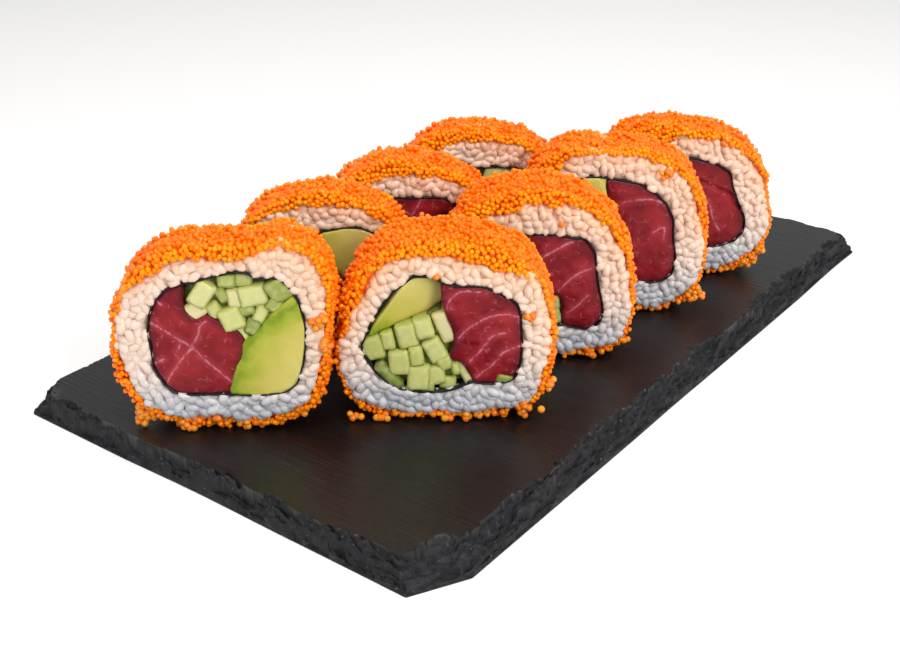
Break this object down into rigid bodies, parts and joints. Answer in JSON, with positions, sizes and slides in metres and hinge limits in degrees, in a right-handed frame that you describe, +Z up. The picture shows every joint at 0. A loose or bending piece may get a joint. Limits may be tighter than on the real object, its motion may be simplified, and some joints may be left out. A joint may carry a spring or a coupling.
{
  "type": "uramaki roll",
  "caption": "Uramaki cut into pieces and coated with orange fish roe, with tuna, avocado and cucumber inside, standing in two rows on a knapped slate board.",
  "frame": {"origin": "middle of the slate board's underside", "axes": "+Z up, +Y along the board's long side, +X along its short side; the cut faces look towards -Y and +X"},
  "size_m": [0.127, 0.221, 0.0549],
  "materials": {
    "slate": "matte",
    "roe": "gloss",
    "rice": "satin",
    "nori": "matte",
    "tuna": "gloss",
    "avocado": "satin",
    "cucumber": "gloss"
  },
  "bodies": {
    "root": {"slate_board": "slate", "roll_a1_roe": "roe", "roll_a1_rice": "rice", "roll_a1_nori": "nori", "roll_a1_tuna": "tuna", "roll_a1_avocado": "avocado", "roll_a1_cucumber": "cucumber", "roll_a2_roe": "roe", "roll_a2_rice": "rice", "roll_a2_nori": "nori", "roll_a2_tuna": "tuna", "roll_a2_avocado": "avocado", "roll_a2_cucumber": "cucumber", "roll_a3_roe": "roe", "roll_a3_rice": "rice", "roll_a3_nori": "nori", "roll_a3_tuna": "tuna", "roll_a3_avocado": "avocado", "roll_a3_cucumber": "cucumber", "roll_a4_roe": "roe", "roll_a4_rice": "rice", "roll_a4_nori": "nori", "roll_a4_tuna": "tuna", "roll_a4_avocado": "avocado", "roll_a4_cucumber": "cucumber", "roll_b1_roe": "roe", "roll_b1_rice": "rice", "roll_b1_nori": "nori", "roll_b1_tuna": "tuna", "roll_b1_avocado": "avocado", "roll_b1_cucumber": "cucumber", "roll_b2_roe": "roe", "roll_b2_rice": "rice", "roll_b2_nori": "nori", "roll_b2_tuna": "tuna", "roll_b2_avocado": "avocado", "roll_b2_cucumber": "cucumber", "roll_b3_roe": "roe", "roll_b3_rice": "rice", "roll_b3_nori": "nori", "roll_b3_tuna": "tuna", "roll_b3_avocado": "avocado", "roll_b3_cucumber": "cucumber", "roll_b4_roe": "roe", "roll_b4_rice": "rice", "roll_b4_nori": "nori", "roll_b4_tuna": "tuna", "roll_b4_avocado": "avocado", "roll_b4_cucumber": "cucumber"}
  },
  "joints": []
}
